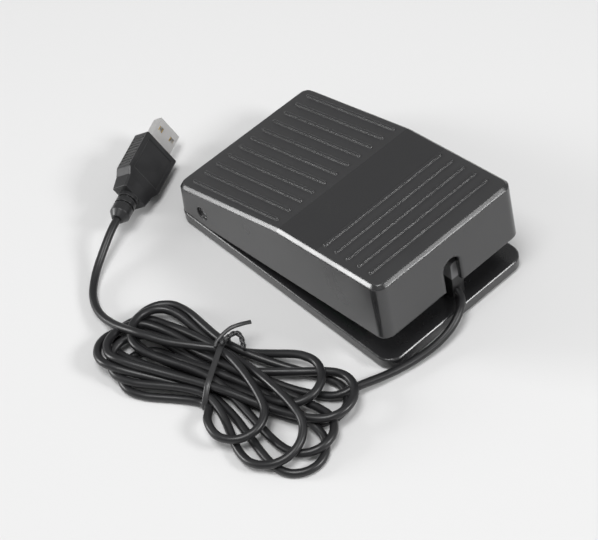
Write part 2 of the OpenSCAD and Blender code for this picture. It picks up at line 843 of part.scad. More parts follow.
module switch_wires() {
    wire_r = 0.5;
    sides = 6;
    pitch = 3.4;
    tip_y = switch_y - switch_l / 2 - blade_l + blade_eye_in;
    head_x = switch_header_x;
    head_top = board_top + header_h;
    color([0.15, 0.2, 0.6]) for (i = [0, 1]) {
        x = (i - 1) * blade_pitch - wire_r;
        hy = switch_header_y + (0.5 - i) * pitch;
        swept([
            [x, tip_y, blade_z + blade_w / 2], [x - wire_r, tip_y - wire_r, blade_z + blade_w + 0.6],
            [x - 4 * wire_r, tip_y - 5 * wire_r, blade_z + 2 * blade_w + i],
            [head_x + 4, hy + 1.6, head_top + 2 + i], [head_x + 1, hy + 0.4, head_top + 1 + i],
            [head_x, hy, head_top - 1], [head_x, hy, board_top + header_floor]], wire_r, sides);
    }
}

module cord_anchor() {
    top_r = 1.6;
    w = anchor_x2 - anchor_x1;
    mid = (anchor_x1 + anchor_x2) / 2;
    color([0.34, 0.34, 0.35]) difference() {
        union() {
            box_at(mid, exit_y + anchor_l / 2, base_top, w, anchor_l, anchor_h - top_r);
            box_at(mid, exit_y + anchor_l / 2, base_top, w - 2 * top_r, anchor_l, anchor_h);
            for (x = [anchor_x1 + top_r, anchor_x2 - top_r]) {
                translate([x, exit_y, base_top + anchor_h - top_r]) rotate([-90, 0, 0])
                    cylinder(h = anchor_l, r = top_r);
            }
        }
        translate([exit_x, exit_y - 1, exit_z]) rotate([-90, 0, 0])
            cylinder(h = anchor_l + 2, d = cord_d);
    }
}

module cord_clamp() {
    saddle_r = cord_r + clamp_t;
    hole_d = 2.6;
    color([0.1, 0.1, 0.1]) difference() {
        union() {
            translate([exit_x, clamp_y - clamp_l / 2, exit_z]) rotate([-90, 0, 0])
                cylinder(h = clamp_l, r = saddle_r);
            box_at(exit_x, clamp_y, base_top, clamp_w, clamp_l, clamp_t);
            box_at(exit_x, clamp_y, base_top, 2 * saddle_r, clamp_l, exit_z - base_top);
        }
        translate([exit_x, clamp_y - clamp_l, exit_z]) rotate([-90, 0, 0])
            cylinder(h = 2 * clamp_l, d = cord_d);
        box_at(exit_x, clamp_y, base_top - saddle_r, 2 * clamp_w, 2 * clamp_l, saddle_r);
        each_clamp_screw() translate([0, 0, base_top - bite])
            cylinder(h = clamp_t + 2 * bite, d = hole_d);
    }
}

module each_clamp_screw() {
    screw_in = 2.3;
    for (s = [-1, 1]) {
        translate([exit_x + s * (clamp_w / 2 - screw_in), clamp_y, 0]) children();
    }
}

module clamp_screws() {
    shank_d = 2.4;
    head_d = 4.2;
    color([0.7, 0.7, 0.7]) each_clamp_screw() {
        translate([0, 0, base_top]) cylinder(h = clamp_t, d = shank_d);
        translate([0, 0, base_top + clamp_t]) screw_head(head_d, 1.4, 0.7);
    }
}

module cord_inner() {
    color([0.09, 0.09, 0.09]) translate([exit_x, exit_y, exit_z]) rotate([-90, 0, 0])
        cylinder(h = cord_inner_end - exit_y, d = cord_d);
}

module cord_run() {
    color([0.09, 0.09, 0.09]) swept(run_route, cord_r, cord_sides);
}

module cord_lead() {
    color([0.09, 0.09, 0.09]) swept(lead_route, cord_r, cord_sides);
}

module hank_end(end) {
    translate([end[0], end[1]]) circle(r = end[2]);
}

module hank_outline() {
    hull() {
        for (end = hank_left) {
            hank_end(end);
        }
        hank_end(hank_waist);
    }
    hull() {
        hank_end(hank_waist);
        hank_end(hank_right);
    }
}

module cord_hank() {
    color([0.1, 0.1, 0.1]) linear_extrude(height = hank_h) hank_outline();
}

// The tie: a flat strap across the waist of the hank and down both its sides
module twist_tie() {
    far = 60;
    clear = 0.2;
    color([0.12, 0.12, 0.12]) difference() {
        translate([0, 0, clear]) linear_extrude(height = hank_h + tie_t - clear) intersection() {
            offset(r = tie_t) hank_outline();
            translate([hank_waist[0], hank_waist[1]]) rotate(tie_turn)
                square([far, tie_w], center = true);
        }
        linear_extrude(height = hank_h) hank_outline();
    }
}

module in_plug() {
    translate(plug_at) rotate(plug_turn) children();
}

// A slab with cut edges and a shallow bare panel, that narrows in two steps towards the neck
module plug_body() {
    shoulder_w = 15.2;
    shoulder_l = 3.3;
    rear_w = 13.2;
    rear_t = 7.9;
    rear_l = 5.5;
    cut = 0.5;
    shoulder_y = rear_l - plug_l;
    front_y = shoulder_y + shoulder_l;
    grip_count = 9;
    grip_pitch = 1.8;
    grip_from = 2.8;
    grip_w = 0.8;
    grip_deep = 0.45;
    grip_h = plug_t - 2 * cut - 1;
    panel_in = 2.2;
    panel_l = 16;
    panel_deep = 0.3;
    color([0.1, 0.1, 0.1]) in_plug() difference() {
        union() {
            hull() {
                plug_section(0, plug_w, plug_t, cut);
                plug_section(front_y, plug_w, plug_t, cut);
                plug_section(shoulder_y, shoulder_w, plug_t, cut);
            }
            hull() {
                plug_section(shoulder_y, shoulder_w, plug_t, cut);
                plug_section(-plug_l, rear_w, rear_t, cut);
            }
        }
        box_at(0, 0, -shell_t / 2, shell_w, 2 * shell_sunk, shell_t);
        for (s = [-1, 1], i = [0 : grip_count - 1]) {
            box_at(s * plug_w / 2, -grip_from - i * grip_pitch, -grip_h / 2, 2 * grip_deep, grip_w,
                grip_h);
        }
        for (s = [-1, 1]) {
            box_at(0, -panel_in - panel_l / 2, s * plug_t / 2 - panel_deep,
                plug_w - 2 * panel_in, panel_l, 2 * panel_deep);
        }
    }
}

module plug_section(y, w, t, cut) {
    thin = 0.1;
    box_at(0, y - thin / 2, -t / 2, w - 2 * cut, thin, t);
    box_at(0, y - thin / 2, -t / 2 + cut, w, thin, t - 2 * cut);
}

// The neck: two grooves, and an end that narrows to the cord
module plug_neck() {
    joint = 0.1;
    ring_from = 1.8;
    ring_pitch = 3.2;
    ring_w = 1;
    ring_deep = 0.9;
    end_l = 2.6;
    end_d = 5;
    color([0.1, 0.1, 0.1]) in_plug() translate([0, -plug_l - joint, 0]) rotate([90, 0, 0]) {
        difference() {
            cylinder(h = neck_l - end_l, d = neck_d);
            for (i = [0, 1]) {
                translate([0, 0, ring_from + i * ring_pitch]) difference() {
                    cylinder(h = ring_w, d = 2 * neck_d);
                    translate([0, 0, -bite])
                        cylinder(h = ring_w + 2 * bite, d = neck_d - 2 * ring_deep);
                }
            }
        }
        translate([0, 0, neck_l - end_l]) cylinder(h = end_l, d1 = neck_d, d2 = end_d);
    }
}

module plug_shell() {
    inside_w = shell_w - 2 * shell_wall;
    inside_t = shell_t - 2 * shell_wall;
    window = 2.4;
    window_x = 3.4;
    window_back = 4.6;
    color([0.8, 0.8, 0.82]) in_plug() difference() {
        box_at(0, (shell_l - shell_sunk) / 2, -shell_t / 2, shell_w, shell_l + shell_sunk, shell_t);
        box_at(0, shell_l - shell_floor, -inside_t / 2, inside_w, 2 * shell_l, inside_t);
        for (x = [-window_x, window_x]) {
            box_at(x, shell_l - window_back, -shell_t, window, window, 2 * shell_t);
        }
    }
}

module plug_tongue() {
    lip = 0.9;
    color([0.9, 0.9, 0.88]) in_plug()
        box_at(0, (shell_l - shell_floor - lip) / 2, -shell_t / 2 + shell_wall,
            shell_w - 2 * shell_wall, shell_l + shell_floor - lip, tongue_t);
}

module plug_contacts() {
    tongue_top = -shell_t / 2 + shell_wall + tongue_t;
    contact_w = 1;
    contact_l = 8;
    contact_t = 0.2;
    contact_in = 5.4;
    color([0.85, 0.7, 0.3]) in_plug() for (x = [-3.5, -1, 1, 3.5]) {
        box_at(x, shell_l - contact_in, tongue_top, contact_w, contact_l, contact_t);
    }
}

pedal_cover();
base_tray();
hinge_pin();
return_spring();
switch_body();
switch_plunger();
switch_lever();
switch_terminals();
switch_screws();
circuit_board();
usb_chip();
board_parts();
crystal();
board_screws();
cord_header();
switch_header();
inner_wires();
switch_wires();
cord_anchor();
cord_clamp();
clamp_screws();
cord_inner();
cord_run();
cord_hank();
cord_lead();
twist_tie();
plug_body();
plug_neck();
plug_shell();
plug_tongue();
plug_contacts();
rubber_feet();
stop_pads();
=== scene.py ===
# %% [markdown]
# This lesson dresses a foot pedal switch: a hinged wedge of black plastic on a flat base,
# with a long black cord tied into a hank and a flat plug on its end. The rigid parts come
# ready made from the construction model, which is loaded as a fixed frame. The lesson adds
# the camera, the cord, its tie and every finish.

import json
from math import acos, atan2, cos, pi, radians, sin

import bmesh
import bpy
import numpy as np
from mathutils import Matrix, Vector


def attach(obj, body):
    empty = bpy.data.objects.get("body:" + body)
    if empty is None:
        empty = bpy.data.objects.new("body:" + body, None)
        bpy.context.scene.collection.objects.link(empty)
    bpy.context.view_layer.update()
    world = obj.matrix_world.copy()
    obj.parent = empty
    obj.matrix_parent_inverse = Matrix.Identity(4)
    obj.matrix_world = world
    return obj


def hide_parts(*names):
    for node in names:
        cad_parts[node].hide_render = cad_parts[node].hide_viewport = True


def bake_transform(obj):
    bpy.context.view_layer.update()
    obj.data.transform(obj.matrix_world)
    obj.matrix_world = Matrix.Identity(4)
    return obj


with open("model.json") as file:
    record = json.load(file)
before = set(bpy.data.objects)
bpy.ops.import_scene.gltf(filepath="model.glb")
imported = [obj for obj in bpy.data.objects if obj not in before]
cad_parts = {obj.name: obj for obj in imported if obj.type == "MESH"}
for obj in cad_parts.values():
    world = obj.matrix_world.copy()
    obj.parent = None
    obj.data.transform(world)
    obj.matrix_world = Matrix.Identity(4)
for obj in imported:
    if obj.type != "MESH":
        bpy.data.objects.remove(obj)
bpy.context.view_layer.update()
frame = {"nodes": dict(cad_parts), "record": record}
print("parts loaded:", len(frame["nodes"]))

# %% [markdown]
# Everything is built in metres, but the sizes of this pedal are easier to read in
# millimetres. So the numbers below are written in millimetres and multiplied once.

# %% Millimetres
MM = 0.001


def mm(point):
    return Vector(point) * MM


# %% [markdown]
# The photograph was taken from the front left and from fairly high up, with the camera
# rolled a little, and from far enough away that the pedal's long sides stay nearly
# parallel. That asks for a long lens. A camera could be aimed with a constraint, but a
# turn that is written down as three angles is easier to repeat.

# %% The camera
PICTURE_WIDTH = 598
EYE = mm((-360.0, -470.4, 658.6))
AZIMUTH, ELEVATION, ROLL = radians(-35.30), radians(48.60), radians(-10.27)
FOCAL_PIXELS = 2205.2
SENSOR_WIDTH = 36


def aim():
    back = Vector((sin(AZIMUTH) * cos(ELEVATION), -cos(AZIMUTH) * cos(ELEVATION),
                   sin(ELEVATION)))
    right = Vector((cos(AZIMUTH), sin(AZIMUTH), 0))
    up = back.cross(right)
    rolled_right = right * cos(ROLL) + up * sin(ROLL)
    rolled_up = up * cos(ROLL) - right * sin(ROLL)
    return Matrix((rolled_right, rolled_up, back)).transposed()


lens = bpy.data.cameras.new("camera")
lens.sensor_width = SENSOR_WIDTH
lens.lens = FOCAL_PIXELS * SENSOR_WIDTH / PICTURE_WIDTH
lens.clip_start = 0.05
lens.clip_end = 20
camera = bpy.data.objects.new("camera", lens)
camera.matrix_world = Matrix.Translation(EYE) @ aim().to_4x4()
bpy.context.scene.collection.objects.link(camera)
bpy.context.scene.camera = camera
print("focal length in mm:", round(lens.lens, 1))

# %% [markdown]
# The cord is one strand from the pedal to the plug. It leaves under the notch in the front
# wall, lies along the floor to the hank, goes round and round in the hank, and leads away
# to the plug. A single smooth curve is the honest way to make it, because a real cord has
# one length and can't be cut. First comes a way to draw a smooth line through a few points.

# %% A smooth line through points
def through(points, step):
    given = np.array(points, float)
    given = np.vstack([2 * given[0] - given[1], given, 2 * given[-1] - given[-2]])
    line = []
    for before, first, second, after in zip(given, given[1:], given[2:], given[3:]):
        t1 = max(np.linalg.norm(first - before), 1e-6) ** 0.5
        t2 = t1 + max(np.linalg.norm(second - first), 1e-6) ** 0.5
        t3 = t2 + max(np.linalg.norm(after - second), 1e-6) ** 0.5
        count = max(2, int(np.ceil(np.linalg.norm(second - first) / step)))
        for t in np.linspace(t1, t2, count, endpoint=False):
            a = ((t1 - t) * before + t * first) / t1
            b = ((t2 - t) * first + (t - t1) * second) / (t2 - t1)
            c = ((t3 - t) * second + (t - t2) * after) / (t3 - t2)
            d = ((t2 - t) * a + t * b) / t2
            e = ((t3 - t) * b + (t - t1) * c) / (t3 - t1)
            line.append(((t2 - t) * d + (t - t1) * e) / (t2 - t1))
    line.append(given[-2])
    return np.array(line)


def length_of(path):
    return float(np.linalg.norm(np.diff(path, axis=0), axis=1).sum())


def even(path, step):
    gone = np.concatenate([[0], np.cumsum(np.linalg.norm(np.diff(path, axis=0), axis=1))])
    places = np.linspace(0, gone[-1], int(round(gone[-1] / step)) + 1)
    return np.stack([np.interp(places, gone, path[:, axis]) for axis in range(3)], 1)


# %% [markdown]
# These two stretches are free: the run from the pedal to the hank, and the lead from the
# hank to the plug. The points are the ones that the construction model uses, so the strand
# lies just where its solid stand-in lies.

# %% The free stretches
CORD_D = 3.4
EXIT = (4.4, -57, 9.3)
RUN = [EXIT, (4.3, -58, 9), (3.2, -60.2, 8.4), (1, -62.4, 8), (-2, -64.2, 7.4), (-6, -65.6, 6.2),
       (-11, -66.4, 4.8), (-17, -66.4, 3.6), (-23, -65.8, 3), (-29.4, -64.8, 2.8),
       (-35.6, -63.6, 3), (-41.6, -62, 3.4), (-47.4, -60.2, 4), (-53.2, -58.4, 4.4)]
LEAD = [(-94.8, 34.6, 5.5), (-94.6, 41, 3.9), (-93.5, 46.4, 3), (-91.5, 51.2, 2.6),
        (-88.9, 55.2, 2.6), (-85.8, 58.4, 2.9), (-82.4, 61.2, 3.6), (-78.7, 63.6, 4.6),
        (-74.8, 65.6, 6), (-71, 67.4, 7.5), (-67.2, 69.2, 8.8), (-63.6, 70.8, 9.7),
        (-60.2, 72.3, 10)]
print("run and lead in mm:", round(length_of(through(RUN, 1))), round(length_of(through(LEAD, 1))))

# %% [markdown]
# The hank is the same cord wound to and fro and tied round its waist. On the right the
# turns fan out into wide loops, on the left they bunch together. Each row below is one
# turn: where it goes under the tie on its way right, the loop it makes there, where it
# comes back, and the loop on the left. A place under the tie is a way across and a height. A
# loop is its middle, its radius and the heights at which the cord comes in and goes out.
# Winding it by rows keeps it one strand.

# %% The turns of the hank
TIE = np.array([-83.0, -13.5])
TIE_TURN = radians(31)
ALONG = np.array([-sin(TIE_TURN), cos(TIE_TURN)])
ACROSS = np.array([cos(TIE_TURN), sin(TIE_TURN)])
TURNS = [
    ((7.8, 8.8), (-92.6, -36.4, 10.8, 9.6, 8.4), (-13.6, 3.4), (-98.3, 8.2, 11.5, 2.0, 1.9)),
    ((0, 5.9), (-86, -61.5, 10.8, 3.0, 1.9), (-9.8, 2.7), (-98.6, 21.4, 11.2, 5.4, 2.0)),
    ((3.9, 5.9), (-78.5, -58.5, 10.8, 4.4, 4.4), (-3.9, 5.9), (-86.6, 19.3, 11, 7.6, 6.6)),
    ((11.7, 2.8), (-67, -40, 11, 6.8, 7.0), (-2, 2.7), (-82.6, 19.2, 11.4, 3.4, 3.4)),
    ((13.6, 5.8), (-65.5, -51, 10.8, 2.4, 1.9), (-5.8, 2.7), (-90.9, 20.2, 11, 5, 1.9)),
    ((9.8, 5.9), (-89.8, -51.7, 12.6, 8.6, 5.4), (-11.7, 5.8), (-98.2, 14.1, 11.2, 4.6, 4.0)),
    ((2, 2.7), (-63.5, -53.5, 11.5, 5.4, 5.4), (-7.8, 5.8), (-95.8, 21.4, 11.2, 8.4, 3.4)),
]
LAST_UNDER = (5.9, 2.7)
LEAD_IN = [(-94.8, 34.6, 5.5), (-94.5, 29.5, 7.2), (-92.7, 19.5, 9.8), (-88.5, 9.3, 10.2),
           (-81.5, -1.5, 10.0)]
RUN_OUT = [(-70, -36, 1.8), (-64.5, -47, 1.9), (-59, -55.6, 3.2), (-53.2, -58.4, 4.4)]
LOOP_STEP, LEAST_POINTS = 6, 5
BEAD = 1.7


def under_tie(across, height):
    place = TIE + ACROSS * across
    return (place[0], place[1], height)


def touch(circle, point, side):
    x, y, radius = circle[:3]
    way = np.array(point[:2]) - (x, y)
    return atan2(way[1], way[0]) + side * acos(min(radius / np.linalg.norm(way), 1))


def loop(circle, came_from, goes_to):
    x, y, radius, high_first, high_last = circle
    first, last = touch(circle, came_from, -1), touch(circle, goes_to, 1)
    while last > first - pi / 2:
        last -= 2 * pi
    count = max(LEAST_POINTS, int(round((first - last) * radius / LOOP_STEP)))
    return [(x + radius * cos(turn), y + radius * sin(turn), height) for turn, height in
            zip(np.linspace(first, last, count), np.linspace(high_first, high_last, count))]


def wind():
    points = list(LEAD_IN)
    ends = [under_tie(*turn[0]) for turn in TURNS[1:]] + [under_tie(*LAST_UNDER)]
    for (going, right, coming, left), leaves in zip(TURNS, ends):
        here, back = under_tie(*going), under_tie(*coming)
        points += [here, *loop(right, here, back), back, *loop(left, back, leaves)]
    return points + ends[-1:] + RUN_OUT


wound = even(through(wind(), 1), BEAD)
print("turns:", len(TURNS), "length in mm:", round(length_of(wound)))

# %% [markdown]
# Wound like this, the turns still pass through one another. A real cord pushes itself
# apart, stays round in its bends and sinks to the floor. A cloth or rope simulation could do
# that, but a few hundred rounds of three small rules do it faster and give the same
# answer every time: touching stretches part, sharp bends open, and everything settles.
# Strands give way upwards more easily than sideways, and both ends of the hank stay put, so
# that the two free stretches still meet them.

# %% Settle the hank
HANK_H = 12.0
TIE_THICK = 0.9
TIE_REACH = 3
SAME_STRETCH = 2.6 * CORD_D
HELD_END = 5 * CORD_D
LOOK_EVERY, LOOK_BEYOND = 5, 1.2
GIVES_WAY = np.array([0.7, 0.7, 1.6])
LIFT = SINK = 0.02
CROWDING = 0.6
SPRINGS_BACK = ((1, 0.5), (3, 0.4), (6, 0.25))
KEEPS_PLACE = 0.995
ROUNDS, QUICK_ROUNDS = 300, 60


def fair(line, reach):
    middle = line.copy()
    middle[2 * reach:-2 * reach] = (4 * (line[reach:-3 * reach] + line[3 * reach:-reach])
                                    - line[:-4 * reach] - line[4 * reach:]) / 6
    return middle


def close_pairs(path, apart, limit):
    offset = path[:, None, :] - path[None, :, :]
    return np.nonzero(apart & ((offset ** 2).sum(2) < limit ** 2))


def settle(start, rounds):
    number = np.arange(len(start))
    apart = np.triu(np.abs(number[:, None] - number[None, :]) * BEAD > SAME_STRETCH, 1)
    near_tie = np.abs((start[:, :2] - TIE) @ ALONG) < TIE_REACH
    floor = CORD_D / 2 + np.where(near_tie, TIE_THICK, 0)
    roof = HANK_H - CORD_D / 2
    to_end = np.minimum(number, number[::-1])[:, None] * BEAD
    held = np.clip(to_end / HELD_END, 0, 1) ** 2
    path = start.copy()
    for turn in range(rounds):
        if turn % LOOK_EVERY == 0:
            one, other = close_pairs(path, apart, CORD_D + LOOK_BEYOND)
        offset = path[one] - path[other]
        distance = np.sqrt((offset ** 2).sum(1)) + 1e-9
        way = offset * GIVES_WAY
        way[:, 2] += LIFT * np.sign(way[:, 2] + 1e-9)
        way /= np.linalg.norm(way, axis=1)[:, None]
        way *= (np.maximum(CORD_D - distance, 0) * 0.5)[:, None]
        push = np.zeros_like(path)
        hits = np.ones(len(path))
        np.add.at(push, one, way)
        np.add.at(push, other, -way)
        touching = distance < CORD_D
        np.add.at(hits, one[touching], 1)
        np.add.at(hits, other[touching], 1)
        path += push / (hits[:, None] ** CROWDING)
        moved = path - start
        for reach, stiff in SPRINGS_BACK:
            moved += stiff * (fair(moved, reach) - moved)
        moved[:, :2] *= KEEPS_PLACE
        moved *= held
        path = start + moved
        path[:, 2] = np.clip(path[:, 2] - SINK * held[:, 0], floor, roof)
    return path


hank = settle(wound, ROUNDS)
print("hank in mm:", round(length_of(hank)))
print("hank from", hank.min(0).round(1), "to", hank.max(0).round(1))

# %% [markdown]
# Now the three stretches are joined, spaced evenly and handed to one curve object with
# a round bevel. The bevel is one metre deep and each point's radius scales
# it down, because Blender counts the radius of the points into a curve's box.

# %% The cord
KNOT_STEP = 3.4
strand = np.vstack([through(RUN, 1.0)[:-1], hank[::-1], through(LEAD, 1.0)[1:]])
strand = even(strand, KNOT_STEP)

line = bpy.data.curves.new("cord", "CURVE")
line.dimensions = "3D"
line.bevel_depth = 1
line.bevel_resolution = 4
line.use_fill_caps = True
line.resolution_u = 4
spline = line.splines.new("BEZIER")
spline.bezier_points.add(len(strand) - 1)
for knot, place in zip(spline.bezier_points, strand):
    knot.co = mm(place)
    knot.radius = CORD_D / 2 * MM
    knot.handle_left_type = knot.handle_right_type = "AUTO"
cord = bpy.data.objects.new("cord", line)
bpy.context.scene.collection.objects.link(cord)
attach(cord, "base")
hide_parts("cord_run", "cord_hank", "cord_lead")

# %% [markdown]
# The tie is a strip of plastic with a wire in it, drawn tight round the waist of the hank.
# Its shape is decided by the strands inside it, so it is worked out from them: the strands
# that cross the tie's plane are found, a band is stretched round them, and a flat strip is
# swept along that band.

# %% Find the strands under the tie
HANK_HALF = 30
ROUND_SAMPLES = 24


def crossings():
    side = (hank[:, :2] - TIE) @ ALONG
    found = []
    for i in np.nonzero(side[:-1] * side[1:] < 0)[0]:
        share = side[i] / (side[i] - side[i + 1])
        place = hank[i] + (hank[i + 1] - hank[i]) * share
        across = (place[:2] - TIE) @ ACROSS
        if abs(across) < HANK_HALF:
            found.append((across, place[2]))
    return found


def band_round(circles, radius):
    samples = [(x + radius * cos(t), z + radius * sin(t))
               for x, z in circles for t in np.linspace(0, 2 * pi, ROUND_SAMPLES, endpoint=False)]
    samples = sorted(set((round(x, 4), round(max(z, TIE_THICK / 2), 4)) for x, z in samples))

    def chain(points):
        kept = []
        for p in points:
            while len(kept) > 1 and ((kept[-1][0] - kept[-2][0]) * (p[1] - kept[-2][1])
                                     <= (kept[-1][1] - kept[-2][1]) * (p[0] - kept[-2][0])):
                kept.pop()
            kept.append(p)
        return kept[:-1]

    return chain(samples) + chain(samples[::-1])


strands = crossings()
band = band_round(strands, CORD_D / 2 + TIE_THICK / 2)
print("strands under the tie:", len(strands), "band corners:", len(band))

# %% [markdown]
# A flat strip is a ring of points carried along a line, with its broad side kept on the
# hank. The same small tool makes the band, then the twisted ends, and at last the round wire
# of the return spring. The value squared says how far the ring is drawn out to its corners.

# %% Sweep a strip along a line
def swept(name, centres, wide, thick, closed=False, sides=12, squared=0.35):
    mesh = bpy.data.meshes.new(name)
    work = bmesh.new()
    count = len(centres)
    rings = []
    for i, centre in enumerate(centres):
        if closed:
            ahead = (centres[(i + 1) % count] - centres[i - 1]).normalized()
        else:
            ahead = (centres[min(i + 1, count - 1)] - centres[max(i - 1, 0)]).normalized()
        flat = wide[i] - ahead * wide[i].dot(ahead)
        out = ahead.cross(flat).normalized() * thick
        ring = []
        for t in range(sides):
            a = 2 * pi * t / sides
            squareness = 1 / max(abs(cos(a)), abs(sin(a))) ** squared
            ring.append(work.verts.new(centre + (flat * cos(a) + out * sin(a)) * squareness))
        rings.append(ring)
    last = count if closed else count - 1
    for i in range(last):
        near, far = rings[i], rings[(i + 1) % count]
        for t in range(sides):
            face = work.faces.new((near[t], near[(t + 1) % sides], far[(t + 1) % sides], far[t]))
            face.smooth = True
    if not closed:
        work.faces.new(rings[0][::-1])
        work.faces.new(rings[-1])
    bmesh.ops.recalc_face_normals(work, faces=work.faces)
    work.to_mesh(mesh)
    work.free()
    piece = bpy.data.objects.new(name, mesh)
    bpy.context.scene.collection.objects.link(piece)
    return piece


# %% [markdown]
# The band is stiff enough to round its corners a little where it passes from strand to
# strand, so the worked out outline is softened twice before the strip is swept along it.

# %% The band
TIE_WIDE = 2.4
BAND_STEP, BAND_LOWEST = 1.2, 0.5
SOFTENED = 2


def on_tie(across, height):
    return mm(under_tie(across, height))


ring = even(np.array([(x, z, 0) for x, z in band + band[:1]]), BAND_STEP)[:-1]
for softening in range(SOFTENED):
    ring = (np.roll(ring, 1, 0) + 2 * ring + np.roll(ring, -1, 0)) / 4
tie_centres = [on_tie(x, max(z, BAND_LOWEST)) for x, z in ring[:, :2]]
tie_wide = [Vector((ALONG[0], ALONG[1], 0)) * (TIE_WIDE / 2 * MM)] * len(tie_centres)
tie_band = swept("tie_band", tie_centres, tie_wide, TIE_THICK / 2 * MM, closed=True)
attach(tie_band, "base")
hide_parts("twist_tie")
print("band length in mm:", round(length_of(np.array([c[:] for c in tie_centres])) / MM))

# %% [markdown]
# The band ends in two tails that are twisted round each other and bent down beside the hank.
# One of them comes free first and sticks out in a low arc. Two lines that wind round a common
# middle line make the twist, and each is a flat strip like the band.

# %% The twisted tails
TWIST = [(-75.6, -9.3, 11.2), (-73.4, -9.4, 12.0), (-70.8, -9.6, 12.4), (-68.6, -10.4, 12.4),
         (-68.2, -12.4, 11.8), (-69.2, -14.4, 10.7), (-70.4, -16.2, 9.4)]
FREE_TAIL = [(-78.2, -8.4, 10.8), (-76.4, -7.4, 11.6), (-73.6, -7.2, 12.4), (-69.0, -7.5, 13.2),
             (-65.0, -9.2, 13.4), (-61.2, -10.9, 12.8)]
TWIST_PITCH, TWIST_REACH = 4.4, 0.62
TWIST_STEP, TAIL_STEP = 0.4, 0.8
TWIST_HALF_WIDE, TAIL_HALF_WIDE, HALF_THICK = 0.8, 0.85, 0.42
NEARLY_UP = Vector((0.3, 0.2, 1))
TAIL_FACES = Vector((0.3, 0.9, 0.35)).normalized()


def wound_tail(phase):
    middle = even(through(TWIST, TWIST_STEP), TWIST_STEP)
    centres, wide = [], []
    for i, place in enumerate(middle):
        ahead = Vector(middle[min(i + 1, len(middle) - 1)] - middle[max(i - 1, 0)]).normalized()
        side = ahead.cross(NEARLY_UP).normalized()
        turn = 2 * pi * i * TWIST_STEP / TWIST_PITCH + phase
        reach = side * cos(turn) + side.cross(ahead) * sin(turn)
        centres.append(mm(Vector(place) + reach * TWIST_REACH))
        wide.append(reach.cross(ahead) * (TWIST_HALF_WIDE * MM))
    return centres, wide


tails = []
for name, phase in (("tie_twist_a", 0), ("tie_twist_b", pi)):
    centres, wide = wound_tail(phase)
    tails.append(swept(name, centres, wide, HALF_THICK * MM))
free_line = [mm(p) for p in through(FREE_TAIL, TAIL_STEP)]
free_wide = [TAIL_FACES * (TAIL_HALF_WIDE * MM)] * len(free_line)
tails.append(swept("tie_tail", free_line, free_wide, HALF_THICK * MM))
for tail in tails:
    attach(tail, "base")
print("twist in mm:", round(length_of(through(TWIST, TWIST_STEP)), 1))

# %% [markdown]

# %% [markdown]
# Under the treadle a steel coil spring lifts the cover. In the construction model it is
# stiff, and a stiff spring would push through the cover when the pedal goes down. It could be
# flattened as a whole, but its top turn also tilts with the cover. So it is wound again here,
# with its lowest turn flat on the base and its top turn flat at the top.

# %% The return spring
SPRING_AT = (0, -27)
SPRING_MEAN_R, WIRE_R = 6.4, 0.6
SPRING_FOOT, SPRING_TOP = 5.8, 33.0
SPRING_TURNS, FLAT_TURN = 7, 0.75
STEPS_A_TURN, WIRE_SIDES = 32, 10
SEAT_GAP = 0.03
low, high = SPRING_FOOT + WIRE_R + SEAT_GAP, SPRING_TOP - WIRE_R - SEAT_GAP
wire_line, wire_wide = [], []
for i in range(SPRING_TURNS * STEPS_A_TURN + 1):
    turn = i / STEPS_A_TURN
    climb = min(1, max(0, (turn - FLAT_TURN) / (SPRING_TURNS - 2 * FLAT_TURN)))
    outward = Vector((cos(2 * pi * turn), sin(2 * pi * turn), 0))
    middle = Vector((*SPRING_AT, low + (high - low) * climb))
    wire_line.append(mm(middle + outward * SPRING_MEAN_R))
    wire_wide.append(outward * (WIRE_R * MM))
spring = swept("spring_coil", wire_line, wire_wide, WIRE_R * MM, sides=WIRE_SIDES, squared=0)
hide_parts("return_spring")
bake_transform(spring)
wire_length = sum((b - a).length for a, b in zip(wire_line, wire_line[1:]))
print("spring wire in mm:", round(wire_length / MM))

# %% [markdown]
# Now the finishes. Every one starts from the same empty sheet: a material with a shader,
# and a place in millimetres so that grain and scratches have their true size on each part.
# The value mirror is the index that says how strongly the surface mirrors, 1.5 for most
# plastics and a little more for a polished black one.

# %% A new finish
def finish_sheet(name, colour, roughness, metal=0.0, mirror=1.5):
    material = bpy.data.materials.new(name)
    material.use_nodes = True
    tree = material.node_tree
    shader = tree.nodes["Principled BSDF"]
    shader.inputs["Base Color"].default_value = (*colour, 1)
    shader.inputs["Roughness"].default_value = roughness
    shader.inputs["Metallic"].default_value = metal
    shader.inputs["IOR"].default_value = mirror
    return material, tree, shader


def add(tree, kind, **settings):
    node = tree.nodes.new(kind)
    for name, value in settings.items():
        setattr(node, name, value)
    return node


def place_mm(tree):
    where = add(tree, "ShaderNodeTexCoord")
    scale = add(tree, "ShaderNodeVectorMath", operation="SCALE")
    scale.inputs["Scale"].default_value = 1 / MM
    tree.links.new(where.outputs["Object"], scale.inputs[0])
    return scale.outputs[0]


def speckle(tree, where, per_mm, detail=2.0):
    noise = add(tree, "ShaderNodeTexNoise")
    noise.inputs["Scale"].default_value = per_mm
    noise.inputs["Detail"].default_value = detail
    tree.links.new(where, noise.inputs["Vector"])
    return noise.outputs["Fac"]


def between(tree, value, low, high, from_low=0.3, from_high=0.7):
    spread = add(tree, "ShaderNodeMapRange")
    for name, number in zip(("From Min", "From Max", "To Min", "To Max"),
                            (from_low, from_high, low, high)):
        spread.inputs[name].default_value = number
    tree.links.new(value, spread.inputs["Value"])
    return spread.outputs["Result"]


# %% [markdown]
# Real moulded edges are never knife sharp. The construction model has plain edges, so the
# finish rounds them: a bevel node blends the light across an edge, and a bump node adds
# the grain on top of that.

# %% Rounded edges and grain
EDGE_SAMPLES = 10


